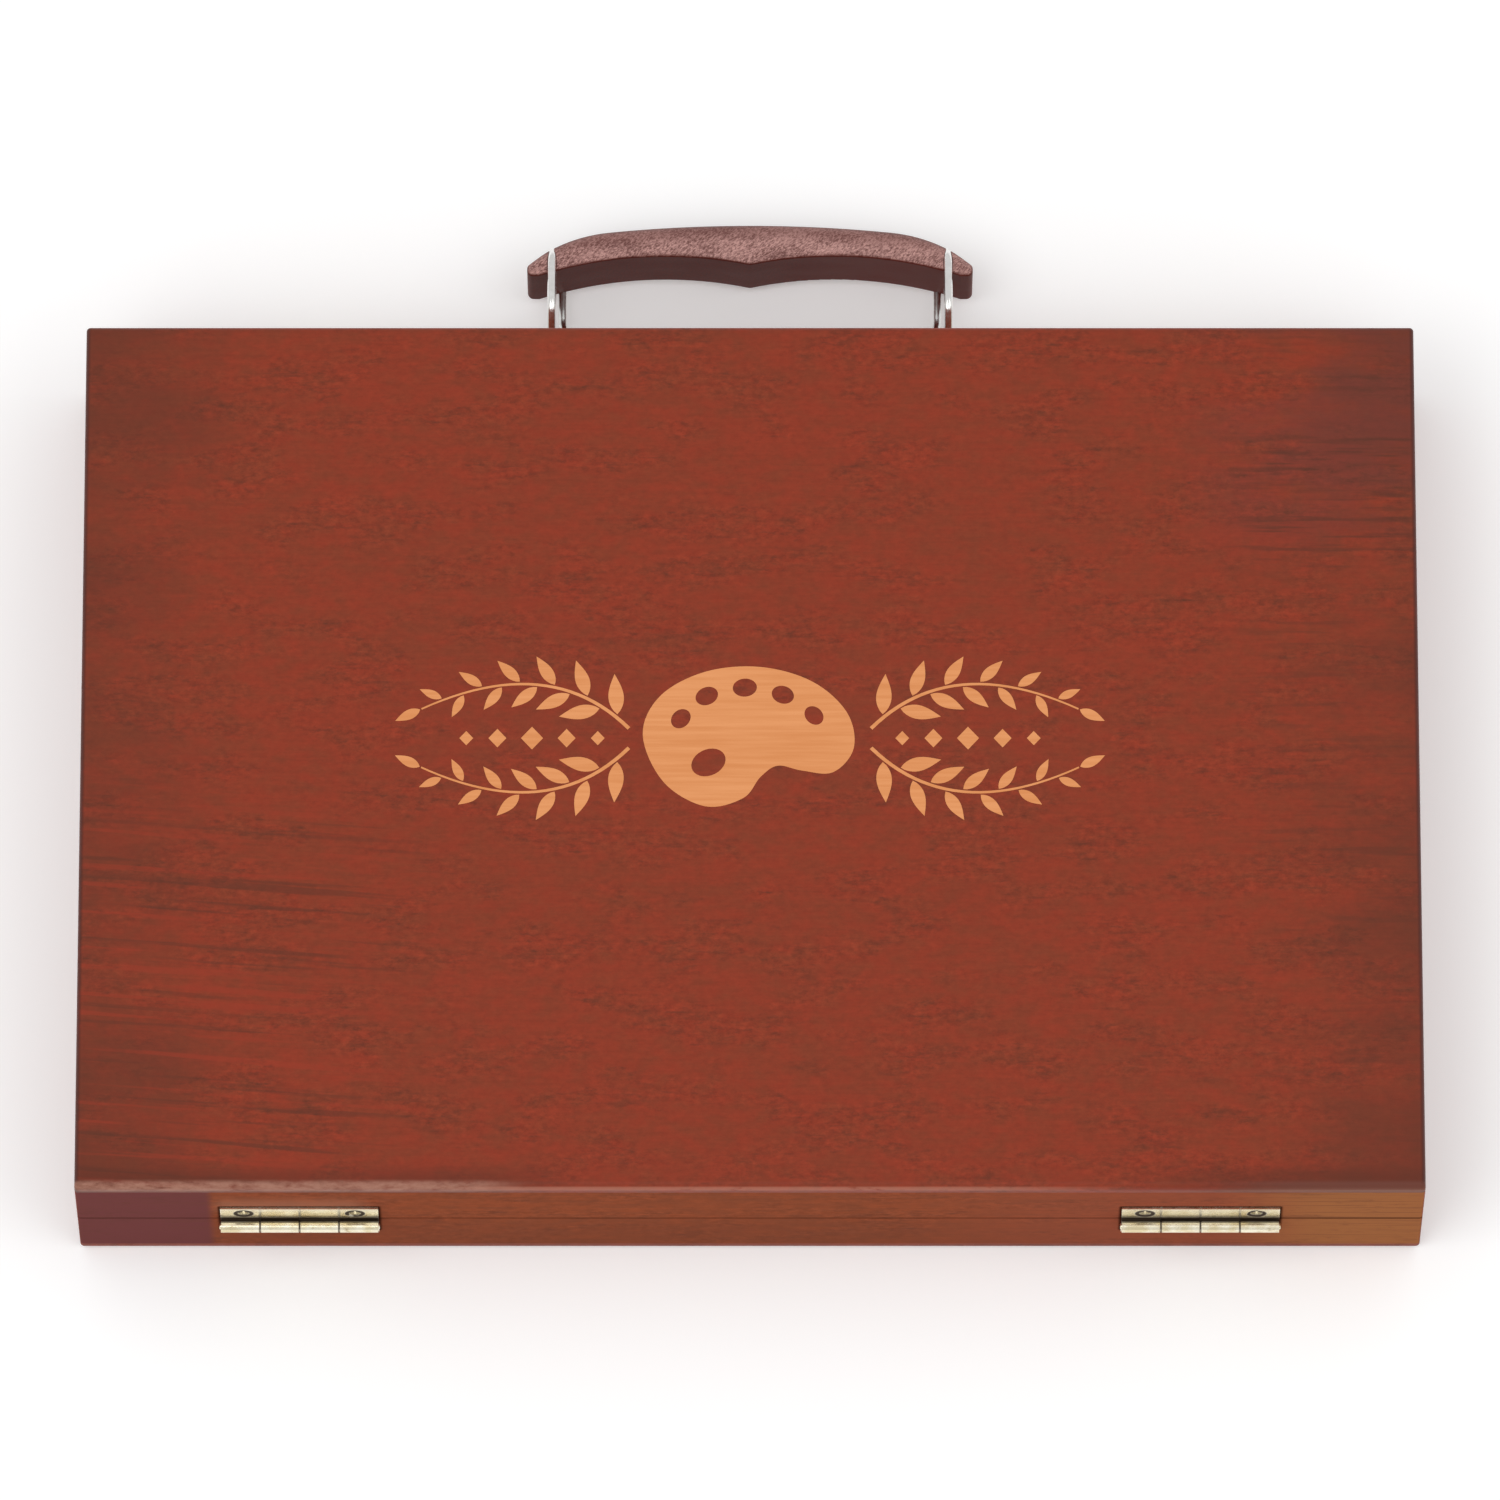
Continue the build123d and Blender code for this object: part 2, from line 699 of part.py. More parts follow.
for side, side_name in ((-1, "left"), (1, "right")):
    with BuildPart() as bail:
        add(bail_wire(side, wire_radius))
    bail.part.label = f"{side_name}_bail"
    export_step(bail.part, f"parts/{side_name}_bail.step")
    with BuildPart() as plate:
        add(handle_plate(side))
    plate.part.label = f"{side_name}_handle_plate"
    export_step(plate.part, f"parts/{side_name}_handle_plate.step")

# Hooks, their plates and rivets, and the posts
for side, side_name in ((-1, "left"), (1, "right")):
    with BuildPart() as hook:
        add(swing_hook(side))
    hook.part.label = f"{side_name}_hook"
    export_step(hook.part, f"parts/{side_name}_hook.step")
    with BuildPart() as lower_plate:
        add(hook_plate(side))
    lower_plate.part.label = f"{side_name}_hook_plate"
    export_step(lower_plate.part, f"parts/{side_name}_hook_plate.step")
    with BuildPart() as rivet:
        add(headed_pin(side, hook_axis_z, rivet_radius))
    rivet.part.label = f"{side_name}_hook_rivet"
    export_step(rivet.part, f"parts/{side_name}_hook_rivet.step")
    with BuildPart() as upper_plate:
        add(catch_plate(side))
    upper_plate.part.label = f"{side_name}_catch_plate"
    export_step(upper_plate.part, f"parts/{side_name}_catch_plate.step")
    with BuildPart() as post:
        add(headed_pin(side, post_z, post_radius))
    post.part.label = f"{side_name}_catch_post"
    export_step(post.part, f"parts/{side_name}_catch_post.step")

# Screws, in one group for each kind of plate
screw_groups = {
    "hinge_base_screws": hinge_screw_places(-1),
    "hinge_lid_screws": hinge_screw_places(1),
    "handle_plate_screws": handle_screw_places(),
    "hook_plate_screws": latch_screw_places(hook_plate_width, hook_axis_z),
    "catch_plate_screws": latch_screw_places(catch_plate_width, post_z),
}
for group_name, places in screw_groups.items():
    with BuildPart() as screws:
        with Locations(*places):
            add(screw_solid)
    screws.part.label = group_name
    export_step(screws.part, f"parts/{group_name}.step")
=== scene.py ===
import math

import bpy
from mathutils import Matrix, Vector


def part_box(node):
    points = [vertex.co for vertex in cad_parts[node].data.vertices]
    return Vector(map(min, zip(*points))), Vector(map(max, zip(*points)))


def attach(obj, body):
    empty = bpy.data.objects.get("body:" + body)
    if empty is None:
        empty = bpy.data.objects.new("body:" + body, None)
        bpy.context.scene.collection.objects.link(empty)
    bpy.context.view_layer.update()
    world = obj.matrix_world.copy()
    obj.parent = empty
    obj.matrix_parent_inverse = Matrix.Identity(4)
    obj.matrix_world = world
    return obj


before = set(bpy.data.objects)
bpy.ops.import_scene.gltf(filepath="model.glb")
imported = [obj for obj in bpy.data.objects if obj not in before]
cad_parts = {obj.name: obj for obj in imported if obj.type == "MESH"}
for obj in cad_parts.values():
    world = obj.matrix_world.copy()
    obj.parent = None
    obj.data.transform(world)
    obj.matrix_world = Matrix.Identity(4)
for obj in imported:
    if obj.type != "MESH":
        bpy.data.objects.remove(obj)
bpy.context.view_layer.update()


# The lid's top board. A thin board of stained hardwood veneer, glued over the lid's frame and
# rounded at its outer edge. The stain is a red brown that pooled darker near the ends. Along the edge
# on the hinge side it is worn through to a paler tone, with a painted highlight over the wear.
class Wire:
    """One output of a shader node. Arithmetic between wires and numbers adds Math nodes."""

    def __init__(self, tree, socket=None):
        self.tree = tree
        self.socket = socket

    def node(self, kind, settings, sockets, output=0):
        """Adds a node of this kind, with its settings and the values or wires of its sockets."""
        made = self.tree.nodes.new("ShaderNode" + kind)
        for key, value in settings.items():
            setattr(made, key, value)
        for key, value in sockets.items():
            if isinstance(value, Wire):
                self.tree.links.new(value.socket, made.inputs[key])
            else:
                made.inputs[key].default_value = value
        return Wire(self.tree, made.outputs[output])

    def into(self, shader, name):
        """Feeds this wire to the shader's socket of that name."""
        self.tree.links.new(self.socket, shader.inputs[name])

    def maths(self, operation, *values):
        return self.node("Math", {"operation": operation}, dict(enumerate(values)))

    def __add__(self, other):
        return self.maths("ADD", self, other)

    def __sub__(self, other):
        return self.maths("SUBTRACT", self, other)

    def __rsub__(self, other):
        return self.maths("SUBTRACT", other, self)

    def __mul__(self, other):
        return self.maths("MULTIPLY", self, other)

    def __truediv__(self, other):
        return self.maths("DIVIDE", self, other)

    def __abs__(self):
        return self.maths("ABSOLUTE", self)

    __radd__ = __add__
    __rmul__ = __mul__

    def at_least(self, floor):
        return self.maths("MAXIMUM", self, floor)

    def at_most(self, ceiling):
        return self.maths("MINIMUM", self, ceiling)

    def distance(self, other):
        """How far a point is from where this wire and the other, square to it, are both zero."""
        return self.maths("SQRT", self * self + other * other)

    def rises(self, low, high):
        """0 below low and 1 above high, smoothly between; falls instead where low is the greater."""
        return self.node("MapRange", {"interpolation_type": "SMOOTHSTEP"},
                         {"Value": self, "From Min": low, "From Max": high})

    def blend(self, first, second):
        """The first colour where this wire is 0 and the second where it is 1."""
        return self.node("Mix", {"data_type": "RGBA"}, {0: self, 6: first, 7: second}, output=2)

    def scaled(self, factor):
        """This colour, made lighter or darker by the factor."""
        return self.node("VectorMath", {"operation": "SCALE"}, {0: self, "Scale": factor})


def tone(red, green, blue):
    """A colour as seen on a screen, from 0 to 255, as the linear colour that a shader takes."""
    return [((value / 255 + 0.055) / 1.055) ** 2.4 for value in (red, green, blue)] + [1.0]


def new_material(name):
    """A material, its shader, and the place on the part as wires along X, Y and Z, in metres."""
    material = bpy.data.materials.new(name)
    material.use_nodes = True
    shader = material.node_tree.nodes["Principled BSDF"]
    wire = Wire(material.node_tree)
    place = wire.node("TexCoord", {}, {}, output="Object")
    return material, shader, [wire.node("SeparateXYZ", {}, {0: place}, output=axis) for axis in range(3)]


def dress(nodes, material):
    """Gives the nodes of these names this material alone."""
    for name in nodes:
        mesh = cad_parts[name].data
        mesh.materials.clear()
        mesh.materials.append(material)


def streaks(grain, length, width, seed, detail=2.0, roughness=0.5):
    """Cloudy noise drawn out along the grain: its marks are about so long and so wide, in metres."""
    along, across, depth = grain
    where = along.node("CombineXYZ", {}, {0: along / length, 1: across / width, 2: depth / width + seed})
    return along.node("TexNoise", {"noise_dimensions": "3D"},
                      {"Vector": where, "Scale": 1.0, "Detail": detail, "Roughness": roughness})


def stain(grain, light, dark, seed):
    """The stain on plain wood: its colour, its open pores, and the fibre that gives it relief."""
    mottle = streaks(grain, 0.0068, 0.0040, seed, detail=3.0)
    cloud = streaks(grain, 0.060, 0.020, seed + 3)
    fibre = streaks(grain, 0.016, 0.0008, seed + 5, detail=4.0, roughness=0.7)
    specks = streaks(grain, 0.0026, 0.0017, seed + 19, detail=4.0, roughness=0.75)
    colour = (mottle * 0.64 + cloud * 0.28 + fibre * 0.08).rises(0.33, 0.67).blend(dark, light)
    crowd = streaks(grain, 0.026, 0.011, seed + 13, detail=3.0).rises(0.44, 0.60)
    colour = colour.scaled(0.89 + (specks - 0.5) * (crowd * 0.8 + 0.5) + fibre * 0.22)
    flecks = streaks(grain, 0.0042, 0.0015, seed + 9, detail=4.0, roughness=0.65).rises(0.50, 0.76)
    dashes = streaks(grain, 0.014, 0.0014, seed + 11, detail=4.0).rises(0.59, 0.74)
    smudges = streaks(grain, 0.011, 0.0034, seed + 15, detail=5.0, roughness=0.7).rises(0.48, 0.70)
    pores = flecks * (crowd * 0.65 + 0.15) + (dashes * 0.5 + smudges * 0.6) * crowd
    return colour, pores, fibre


def finish_wood(shader, colour, pores, fibre, gloss):
    """Lays a satin finish over the stained wood, duller and a little sunk in at its pores."""
    colour.into(shader, "Base Color")
    (0.44 + pores * 0.16 + (fibre - 0.5) * 0.2).into(shader, "Roughness")
    relief = {"Strength": 0.3, "Distance": 0.0001, "Height": fibre * 0.5 - pores * 0.6}
    colour.node("Bump", {}, relief).into(shader, "Normal")
    shader.inputs["Specular IOR Level"].default_value = gloss


half_width, half_depth, lid_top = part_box("lid_panel")[1]
red, brown, bright_red = tone(142, 52, 30), tone(130, 55, 32), tone(152, 53, 32)
smoke_brown, pore_brown, line_brown = tone(90, 46, 31), tone(82, 44, 29), tone(84, 46, 32)
violet_brown, corner_brown, end_brown = tone(108, 55, 50), tone(90, 42, 28), tone(70, 28, 20)

lid_wood, shader, (x, y, z) = new_material("lid_board_wood")
grain = (x, y, z)
colour, pores, fibre = stain(grain, red, brown, seed=1.0)

# Stain pooled near the ends and corners, and violet in the right corner on the handle side. Here
# and below, a pair of places says where a tint starts and where it is full.
pooled_ends, pooled_corners = (0.120, half_width), (0.050, half_depth)
end_band, side_band = (half_width - 0.012, half_width), (half_depth - 0.007, half_depth)
violet_x, violet_y = (0.118, 0.150), (0.050, 0.085)
smoke = streaks(grain, 0.045, 0.022, 21.0, detail=5.0, roughness=0.6)
near_ends = abs(x).rises(*pooled_ends) * (0.50 + abs(y).rises(*pooled_corners) * 0.30)
edge_bands = (abs(x).rises(*end_band) + abs(y).rises(*side_band)) * 0.16
smoked = (near_ends + (smoke - 0.5) * (near_ends * 1.4 + 0.8)).rises(0.12, 0.82)
colour = ((smoked + edge_bands) * 0.52).blend(colour, smoke_brown)
violet_part = x.rises(*violet_x) * y.rises(*violet_y) * smoke.rises(0.30, 0.55)
colour = (violet_part * 0.36).blend(colour, violet_brown)

# Bundles of dark lines at the right end, crowded in one band on the handle side
right_end = (0.125, 0.160)
crowded_x, crowded_from, crowded_to = (0.125, 0.158), (0.055, 0.072), (0.108, 0.090)
fine_lines = streaks(grain, 0.032, 0.0023, 36.0, detail=4.0).rises(0.48, 0.66)
loose_bundles = streaks(grain, 0.070, 0.018, 38.0).rises(0.44, 0.58) * x.rises(*right_end)
crowded_bundle = x.rises(*crowded_x) * y.rises(*crowded_from) * y.rises(*crowded_to)
line_bundles = (loose_bundles * 0.45 + crowded_bundle * 0.75).at_most(1.0)
colour = (fine_lines * line_bundles * 0.72).blend(colour, line_brown)

# Slanting figure towards the left corner on the hinge side, dark and bright by turns
figure_slope = 0.075
figured_x, figured_y = (-0.070, -0.130), (0.010, -0.040)
figure = streaks((x, y + x * figure_slope, z), 0.090, 0.0028, 34.0, detail=3.0)
figured_corner = x.rises(*figured_x) * y.rises(*figured_y)
colour = (figure.rises(0.55, 0.68) * figured_corner * 0.55).blend(colour, smoke_brown)
colour = (figure.rises(0.46, 0.34) * figured_corner * 0.50).blend(colour, bright_red)
colour = (pores * 0.55).blend(colour, pore_brown)

# Darker bands before the hinge side's edge near its corners, and a dark line along both ends
left_corner, right_corner, corner_band = (-0.040, -0.085), (0.100, 0.150), (0.0085, 0.0030)
end_line = (half_width - 0.0016, half_width - 0.0006)
from_edge = abs(y + half_depth)
near_corners = x.rises(*left_corner) + x.rises(*right_corner)
colour = (from_edge.rises(*corner_band) * near_corners * 0.50).blend(colour, corner_brown)
colour = (abs(x).rises(*end_line) * 0.75).blend(colour, end_brown)

# The rounded edge on the hinge side: worn and blotched pale at the left, worn wood under a painted
# highlight, violet at the right, and between them only a thin painted highlight where the board turns down
rounding_reach, rounding_drop, worn_and_highlit_end = (0.0029, 0.0011), (0.0042, 0.0014), (-0.060, -0.085)
violet_drop = (0.0030, 0.0006)
turn_reach, turn_foot, turn_head = (0.0012, 0.0006), (0.0026, 0.0018), (0.0004, 0.0010)
turn_left, turn_right = (-0.095, -0.065), (0.120, 0.060)
below_top = lid_top - z
rounding = from_edge.rises(*rounding_reach) * below_top.rises(*rounding_drop)
blotches = streaks(grain, 0.007, 0.0030, 41.0, detail=5.0, roughness=0.75)
worn_and_highlit_part = x.rises(*worn_and_highlit_end) * blotches.rises(0.20, 0.66)
colour = (rounding * worn_and_highlit_part).blend(colour, tone(163, 115, 97))
violet_edge = below_top.rises(*violet_drop).blend(tone(134, 80, 54), tone(106, 60, 48))
colour = (rounding * x.rises(*right_end) * 0.80).blend(colour, violet_edge)
turn_height = below_top.rises(*turn_foot) * below_top.rises(*turn_head)
turn_length = x.rises(*turn_right) * x.rises(*turn_left)
painted_highlight_line = from_edge.rises(*turn_reach) * turn_height * turn_length * blotches.rises(0.25, 0.45)
colour = (painted_highlight_line * 0.36).blend(colour, tone(200, 138, 116))
finish_wood(shader, colour, pores, fibre, gloss=0.2)
dress(["lid_panel"], lid_wood)


# The ornament on the lid. Thin leaves of pale veneer let into the board and left a tenth of a
# millimetre proud: a painter's palette between two pairs of leafy sprays with lozenges between them.
# The sprays and lozenges are the same to the left and to the right.
veneer_half_thickness, veneer_lift = 0.00008, 0.000032
ornament_y = 0.0045

veneer, shader, (x, y, z) = new_material("inlay_veneer")
fine_figure = streaks((x, y, z), 0.030, 0.0012, 61.0, detail=4.0, roughness=0.6)
patches = streaks((x, y, z), 0.040, 0.015, 64.0)
veneer_tones = (fine_figure * 0.7 + patches * 0.3).rises(0.30, 0.70)
veneer_tones.blend(tone(218, 140, 84), tone(232, 157, 102)).into(shader, "Base Color")
(0.48 + fine_figure * 0.12).into(shader, "Roughness")
shader.inputs["Specular IOR Level"].default_value = 0.2


def inlay(name, outlines):
    """A flat piece with the given closed outlines, in millimetres; one inside another is a hole."""
    drawing = bpy.data.curves.new(name, "CURVE")
    drawing.dimensions = "2D"
    drawing.fill_mode = "BOTH"
    drawing.extrude = veneer_half_thickness
    for outline in outlines:
        line = drawing.splines.new("POLY")
        line.points.add(len(outline) - 1)
        for point, (across, up) in zip(line.points, outline):
            point.co = (across / 1000, up / 1000, 0, 1)
        line.use_cyclic_u = True
    pattern = bpy.data.objects.new(name + "_drawing", drawing)
    bpy.context.scene.collection.objects.link(pattern)
    bpy.context.view_layer.update()
    mesh = bpy.data.meshes.new_from_object(pattern.evaluated_get(bpy.context.evaluated_depsgraph_get()))
    bpy.data.objects.remove(pattern)
    mesh.transform(Matrix.Translation((0, ornament_y, lid_top + veneer_lift)))
    mesh.materials.clear()
    mesh.materials.append(veneer)
    piece = bpy.data.objects.new(name, mesh)
    bpy.context.scene.collection.objects.link(piece)
    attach(piece, "lid")


def smooth_loop(corners, steps=8):
    """A closed curve through the corners, as Catmull-Rom spans of so many steps."""
    points = []
    count = len(corners)
    for index in range(count):
        before, start, end, after = [Vector(corners[(index + offset) % count]) for offset in (-1, 0, 1, 2)]
        for step in range(steps):
            t = step / steps
            point = ((2 * start) + (end - before) * t + (2 * before - 5 * start + 4 * end - after) * t**2
                     + (3 * start - before - 3 * end + after) * t**3) / 2
            points.append(tuple(point))
    return points


def oval(across, up, half_length, half_height, turn, steps=28):
    """An ellipse round a middle point, turned by an angle in radians."""
    corners = []
    for step in range(steps):
        angle = math.tau * step / steps
        u, v = half_length * math.cos(angle), half_height * math.sin(angle)
        corners.append((across + u * math.cos(turn) - v * math.sin(turn),
                        up + u * math.sin(turn) + v * math.cos(turn)))
    return corners


def leaf(base, heading, length, width, steps=12):
    """A pointed leaf from its base along its heading, fullest a little under the middle."""
    half = [(step / steps * length, width / 2 * math.sin(math.pi * (step / steps) ** 0.8))
            for step in range(steps + 1)]
    outline = half + [(along, -out) for along, out in half[-2:0:-1]]
    cosine, sine = math.cos(heading), math.sin(heading)
    return [(base[0] + along * cosine - out * sine, base[1] + along * sine + out * cosine)
            for along, out in outline]


def spray(stem_steps=24, leaf_count=11, leaf_gap=0.35, leaf_angle=0.80):
    """The outlines of a spray's stem and leaves, in millimetres, to the right of the palette."""
    start, bend, end = Vector((35, 3)), Vector((58, 27)), Vector((95, 9))
    stem = []
    for step in range(stem_steps + 1):
        t = step / stem_steps
        point = start * (1 - t) ** 2 + bend * 2 * t * (1 - t) + end * t**2
        ahead = (bend - start) * (1 - t) + (end - bend) * t
        stem.append((point, ahead.normalized(), 0.55 - 0.3 * t))
    edge = [point + Vector((-ahead.y, ahead.x)) * half for point, ahead, half in stem]
    edge += [point + Vector((ahead.y, -ahead.x)) * half for point, ahead, half in reversed(stem)]
    outlines = [[(point.x, point.y) for point in edge]]
    for index in range(leaf_count):
        point, ahead, half = stem[2 + 2 * index]
        turn = 1 if index % 2 == 0 else -1
        length = 12.5 - 0.55 * index
        base = point + Vector((-ahead.y, ahead.x)) * turn * (half + leaf_gap)
        heading = math.atan2(ahead.y, ahead.x) + turn * leaf_angle
        outlines.append(leaf(base, heading, length, length * 0.36))
    tip, ahead, half = stem[-1]
    outlines.append(leaf(tip + ahead * 0.4, math.atan2(ahead.y, ahead.x), 8.0, 3.0))
    return outlines


palette_edge = smooth_loop([(-31, 1), (-26, 13), (-13, 20.5), (3, 22), (18, 17.5), (28, 8), (30, -3),
                            (24, -10.5), (15, -10), (8, -8.5), (3, -12), (-2, -18.5), (-13, -21),
                            (-25, -13.5)])
thumb_hole = oval(-12, -7.5, 5.2, 4.0, 0.5)
paint_wells = [oval(-20, 6, 3.2, 2.6, 0.9), oval(-12.5, 13, 3.4, 2.7, 0.5), oval(-1.5, 15.6, 3.5, 2.8, 0.1),
               oval(9.5, 13.4, 3.3, 2.7, -0.4), oval(18.5, 7, 3.1, 2.5, -0.9)]
inlay("inlay_palette", [palette_edge, thumb_hole] + paint_wells)

spray_outlines = spray()
lozenges = ((44, 2.0), (53, 2.6), (63, 3.2), (73, 2.6), (82, 2.0))
for across, side_name in ((-1, "left"), (1, "right")):
    for up, row_name in ((1, "upper"), (-1, "lower")):
        inlay(f"inlay_{row_name}_{side_name}_spray",
              [[(across * a, up * b) for a, b in outline] for outline in spray_outlines])
    for number, (place, size) in enumerate(lozenges, 1):
        left, right, height = across * (place - size), across * (place + size), size * 1.1
        inlay(f"inlay_{side_name}_lozenge_{number}",
              [[(left, 0), (across * place, height), (right, 0), (across * place, -height)]])


# The frame walls of both halves. Solid strips of the same wood, mitred at the corners, with the grain
# along each strip and the same stain. The hinge side starts plum at the left, painted shade, and ends
# golden at the right, painted light, with painted shade dark where the halves meet and round the hinges.
wall_light, wall_dark, wall_low = tone(137, 61, 41), tone(122, 56, 38), tone(110, 50, 33)
hinge_side_light, hinge_side_dark, hinge_side_low = tone(145, 76, 50), tone(131, 72, 50), tone(120, 67, 50)
plum, warm_brown, gold_brown = tone(111, 63, 63), tone(150, 79, 60), tone(157, 101, 63)
painted_gap_shade = tone(62, 30, 20)
towards_hinges, lower_half, seam_width = (0, -0.1), (0.032, 0.014), (0.0010, 0.0003)
warm_x, plum_x, gold_x = (0.030, 0.110), (-0.1535, -0.1565), (0.130, 0.168)
patch_left, patch_right = (-0.1560, -0.1500), (-0.1070, -0.1160)
patch_top, patch_foot = (0.0470, 0.0370), (0.030, 0.034)
hinge_shade = (0.0012, 0.0003)
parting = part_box("lid_hinge_wall")[0][2]
leaf_low, leaf_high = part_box("right_hinge_lid_leaf")
hinge_x = (leaf_low[0] + leaf_high[0]) / 2
hinge_half_length = (leaf_high[0] - leaf_low[0]) / 2
leaf_reach = leaf_high[2] - parting

wall_wood, shader, (x, y, z) = new_material("long_wall_wood")
hinge_side = y.rises(*towards_hinges)
light = hinge_side.blend(wall_light, hinge_side_light)
dark = hinge_side.blend(wall_dark, hinge_side_dark)
colour, pores, fibre = stain((x, z, y), light, dark, seed=51.0)
colour = (z.rises(*lower_half) * 0.40).blend(colour, hinge_side.blend(wall_low, hinge_side_low))
# Painted shade, plum, over the left end of the hinge side, and painted light, warm and then golden, towards
# its right end
painted_warm_light = x.rises(*warm_x) * hinge_side
painted_plum_shade = x.rises(*plum_x) * hinge_side
painted_gold_light = x.rises(*gold_x) * hinge_side
colour = (painted_warm_light * 0.5).blend(colour, warm_brown)
colour = (painted_plum_shade * 0.95).blend(colour, plum)
colour = (painted_gold_light * 0.90).blend(colour, gold_brown)
gold_lines = streaks((x, z, y), 0.060, 0.0014, 57.0, detail=3.0).rises(0.50, 0.66)
colour = (gold_lines * (painted_gold_light * 0.2 + 0.2)).blend(colour, tone(109, 68, 52))
colour = (pores * 0.50).blend(colour, tone(97, 61, 50))

# A pale painted reflection over the left hinge
painted_sheen_length = x.rises(*patch_left) * x.rises(*patch_right)
painted_sheen_height = z.rises(*patch_top) * z.rises(*patch_foot)
colour = (painted_sheen_length * painted_sheen_height * hinge_side * 0.55).blend(colour, tone(164, 109, 85))
# Painted shade, dark brown, in the seam between the halves and round the hinges' leaves
from_parting = abs(z - parting)
seam = from_parting.rises(*seam_width)
colour = (seam * (painted_gold_light * 0.3 + 0.35)).blend(colour, painted_gap_shade)
past_end = (abs(abs(x) - hinge_x) - hinge_half_length).at_least(0.0)
past_leaf = (from_parting - leaf_reach).at_least(0.0)
painted_hinge_shade = past_end.distance(past_leaf).rises(*hinge_shade) * hinge_side
colour = (painted_hinge_shade * 0.85).blend(colour, painted_gap_shade)
finish_wood(shader, colour, pores, fibre, gloss=0.0)
dress([f"{half}_{side}_wall" for half in ("base", "lid") for side in ("front", "hinge")], wall_wood)

side_wood, shader, (x, y, z) = new_material("side_wall_wood")
colour, pores, fibre = stain((y, z, x), wall_light, wall_dark, seed=67.0)
colour = (z.rises(*lower_half) * 0.40).blend(colour, wall_low)
colour = (pores * 0.50).blend(colour, tone(84, 40, 22))
# Painted shade along the seam where the halves meet
colour = (abs(z - parting).rises(*seam_width) * 0.35).blend(colour, painted_gap_shade)
finish_wood(shader, colour, pores, fibre, gloss=0.03)
dress([f"{half}_{side}_wall" for half in ("base", "lid") for side in ("left", "right")], side_wood)


# The base's bottom board. A thin board of the same stained veneer, glued under the base's frame and
# left plain.
base_wood, shader, (x, y, z) = new_material("base_board_wood")
colour, pores, fibre = stain((x, y, z), wall_light, wall_dark, seed=83.0)
finish_wood(shader, (pores * 0.5).blend(colour, pore_brown), pores, fibre, gloss=0.12)
dress(["base_panel"], base_wood)


# The handle's grip. A shaped piece of harder, darker wood, held by the bails at its ends. Its rounded
# back is speckled with open pores and painted pale as painted light where it faces up, with painted shade
# on its outer edge; the faces that don't look up, inside the two scallops, are deep brown, partly painted
# shade.
grip_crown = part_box("handle_grip")[1][1]
grip_bow = 1.35
hatch_slope = 0.8
outer_edge, redder_end = (0.0075, 0.0025), (-0.010, 0.050)

handle_wood, shader, (x, y, z) = new_material("handle_wood")
hatch = (x + y * hatch_slope, y - x * hatch_slope, z)
speckle = streaks(hatch, 0.0011, 0.0005, 91.0, detail=3.0, roughness=0.7)
soft = streaks((x, y, z), 0.020, 0.006, 95.0, detail=3.0)
painted_lit_top = (speckle * 0.75 + soft * 0.25).rises(0.36, 0.64).blend(tone(108, 70, 66), tone(206, 160, 152))
from_crown = grip_crown - y - x * x * grip_bow
# Painted shade on the rounded outer edge of the grip's back
painted_lit_top = (from_crown.rises(*outer_edge) * 0.50).blend(painted_lit_top, tone(108, 66, 61))
scallops = speckle.rises(0.3, 0.7).blend(tone(75, 24, 13), tone(98, 33, 19))
scallops = (x.rises(*redder_end) * 0.5).blend(scallops, tone(103, 32, 17))
facing = x.node("NewGeometry", {}, {}, output="Normal")
facing_up = x.node("SeparateXYZ", {}, {0: facing}, output=2)
# Painted light on the faces that look up, and partly painted shade on the others
colour = facing_up.rises(0.85, 0.35).blend(painted_lit_top, scallops)
finish_wood(shader, colour, speckle.rises(0.55, 0.7), soft, gloss=0.12)
dress(["handle_grip"], handle_wood)


# The handle's bails, their plates and the plates' screws. The bails are bent from steel wire and the
# plates are pressed from sheet steel, all brightly plated.
steel, shader, (x, y, z) = new_material("bright_steel")
smear = streaks((x, y, z), 0.004, 0.002, 101.0, detail=3.0)
smear.blend(tone(224, 222, 219), tone(246, 245, 243)).into(shader, "Base Color")
(0.14 + smear * 0.14).into(shader, "Roughness")
shader.inputs["Metallic"].default_value = 1.0
dress([f"{side}_{piece}" for side in ("left", "right") for piece in ("bail", "handle_plate")], steel)
dress(["handle_plate_screws"], steel)


# Hinges, hooks, posts and their screws: steel pressings with a pale brass plating. The hinges carry
# painted shade, dark brown, round their screw heads, along their barrels and between the knuckles,
# and their leaves are painted paler as a painted reflection.
pale_plating, bright_plating, leaf_painted_highlight = tone(230, 215, 176), tone(250, 243, 220), tone(255, 249, 230)
hook_plating, stained_plating, painted_shade_brown = tone(208, 178, 120), tone(150, 120, 76), tone(58, 42, 26)
screw_along, screw_rise = 0.016, 0.006
ring_inner, ring_outer, screw_head = (0.0017, 0.0022), (0.0032, 0.0027), (0.0028, 0.0023)
lip_drop, lip_hollow = 0.0011, (0.0015, 0.0021)
leaf_rise, towards_handle = (0.0026, 0.0032), (0, 0.1)
barrel_back, barrel_top, barrel_rise = (-0.1350, -0.1343), (0.0032, 0.0025), (0.0030, 0.0020)
knuckle_length, knuckle_gap = hinge_half_length / 2, (0.0004, 0.0002)
hinge_end = (hinge_half_length + 0.001, hinge_half_length)

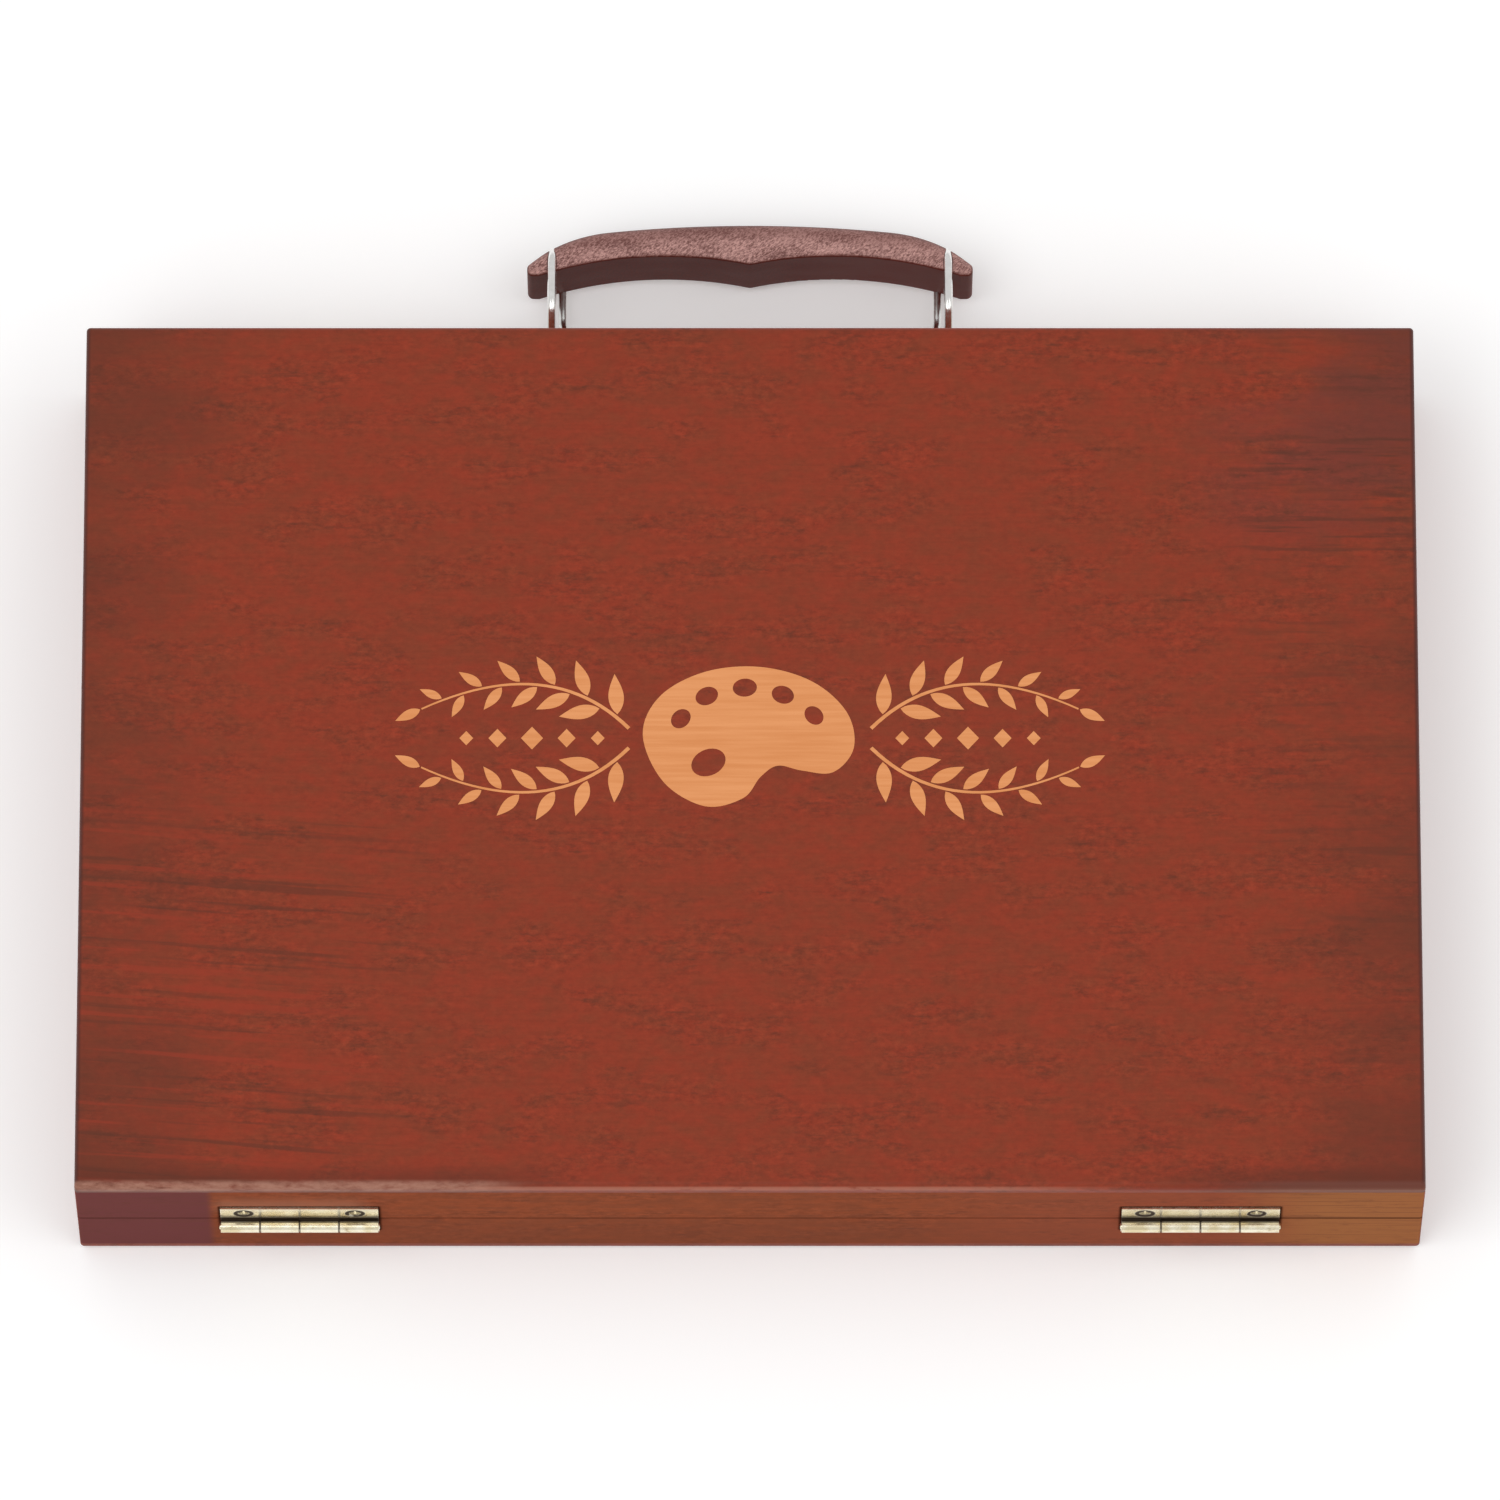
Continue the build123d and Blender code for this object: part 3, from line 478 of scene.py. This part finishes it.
brass, shader, (x, y, z) = new_material("pale_brass")
tarnish = streaks((x, y, z), 0.006, 0.004, 111.0, detail=4.0, roughness=0.6)
scratches = streaks((x, z, y), 0.010, 0.0005, 115.0)
stains = streaks((x, y, z), 0.0035, 0.002, 118.0, detail=4.0, roughness=0.7).rises(0.58, 0.72)
along = abs(abs(x) - hinge_x)
rise = abs(z - parting)
plating = tarnish.rises(0.36, 0.64).blend(pale_plating, bright_plating)
# The hinges' leaves painted paler than their barrels: a painted reflection
plating = (rise.rises(*leaf_rise) * 0.6).blend(plating, leaf_painted_highlight)
plating = (y.rises(*towards_handle) * 0.55).blend(plating, hook_plating)
plating = (stains * 0.45).blend(plating, stained_plating)
# Painted shade in the screws' countersinks, under the leaves' edge along the barrels, and in the gaps
# between the knuckles
from_screw = (along - screw_along).distance(rise - screw_rise)
screw_ring = from_screw.rises(*ring_inner) * from_screw.rises(*ring_outer) * tarnish.rises(0.24, 0.44)
from_lip = (along - screw_along).distance(rise - (screw_rise - lip_drop))
lip_shade = from_screw.rises(*screw_head) * from_lip.rises(*lip_hollow)
barrel_line = rise.rises(*barrel_top) * y.rises(*barrel_back)
knuckle_gaps = along.rises(*knuckle_gap) + abs(along - knuckle_length).rises(*knuckle_gap)
painted_shade_lines = screw_ring + lip_shade + barrel_line + knuckle_gaps * (rise.rises(*barrel_rise) * 0.75 + 0.10)
on_hinge = y.rises(*towards_hinges) * along.rises(*hinge_end)
painted_shade_lines = (painted_shade_lines * on_hinge).at_most(1.0)
painted_shade_lines.blend(plating, painted_shade_brown).into(shader, "Base Color")
(1 - painted_shade_lines * 0.7).into(shader, "Metallic")
(0.16 + tarnish * 0.12 + scratches * 0.1 + painted_shade_lines * 0.3).into(shader, "Roughness")
for side in ("left", "right"):
    dress([f"{side}_{piece}" for piece in ("hinge_base_leaf", "hinge_lid_leaf", "hinge_pin", "hook",
                                           "hook_plate", "hook_rivet", "catch_plate", "catch_post")], brass)
dress(["hinge_base_screws", "hinge_lid_screws", "hook_plate_screws", "catch_plate_screws"], brass)


# The two trays. Thin black plastic, vacuum formed over a mould with a fine matt texture, and laid
# into each half of the case.
plastic, shader, (x, y, z) = new_material("tray_plastic")
texture = streaks((x, y, z), 0.0005, 0.0005, 121.0)
haze = streaks((x, y, z), 0.030, 0.030, 125.0, detail=3.0)
haze.blend(tone(26, 26, 27), tone(40, 40, 41)).into(shader, "Base Color")
(0.42 + haze * 0.2).into(shader, "Roughness")
texture.node("Bump", {}, {"Strength": 0.3, "Distance": 0.00008, "Height": texture}).into(shader, "Normal")
dress(["base_tray", "lid_tray"], plastic)


# The floor, the lights and the camera. A plain white floor, just under the case, even soft light
# from above and all round, and a camera far off, so that the lid stays almost a rectangle.
floor_width, floor_gap, floor_glow = 16.0, 0.0002, 0.17
surrounding_light = 0.72

bpy.ops.mesh.primitive_plane_add(size=floor_width, location=(0, 0, -floor_gap))
floor = bpy.context.object
floor.name = "floor"
floor_paint, shader = new_material("floor_paint")[:2]
shader.inputs["Base Color"].default_value = (0.92, 0.92, 0.92, 1)
shader.inputs["Emission Color"].default_value = (1, 1, 1, 1)
shader.inputs["Emission Strength"].default_value = floor_glow
shader.inputs["Roughness"].default_value = 0.9
shader.inputs["Specular IOR Level"].default_value = 0.1
floor.data.materials.append(floor_paint)

world = bpy.data.worlds.new("studio")
world.use_nodes = True
world.node_tree.nodes["Background"].inputs["Color"].default_value = (1, 1, 1, 1)
world.node_tree.nodes["Background"].inputs["Strength"].default_value = surrounding_light
bpy.context.scene.world = world


def soft_light(name, place, size, power):
    """A square lamp of this size, in metres, at this place and turned to the case."""
    lamp = bpy.data.lights.new(name, "AREA")
    lamp.size = size
    lamp.energy = power
    holder = bpy.data.objects.new(name, lamp)
    holder.location = place
    holder.rotation_euler = (-Vector(place)).to_track_quat("-Z", "Y").to_euler()
    bpy.context.scene.collection.objects.link(holder)


soft_light("key_light", place=(-1.6, -1.2, 3.2), size=2.4, power=34)
soft_light("fill_light", place=(2.0, -0.8, 2.6), size=2.4, power=16)

camera_target, camera_distance = Vector((0, 0.0108, 0.0265)), 5.0
camera_elevation = math.radians(69.45)
lens_length, sensor_width = 413, 36

camera_data = bpy.data.cameras.new("camera")
camera_data.lens = lens_length
camera_data.sensor_width = sensor_width
camera = bpy.data.objects.new("camera", camera_data)
to_camera = Vector((0, -math.cos(camera_elevation), math.sin(camera_elevation)))
camera.location = camera_target + camera_distance * to_camera
camera.rotation_euler = (-to_camera).to_track_quat("-Z", "Y").to_euler()
bpy.context.scene.collection.objects.link(camera)
bpy.context.scene.camera = camera
bpy.context.scene.view_settings.view_transform = "Standard"
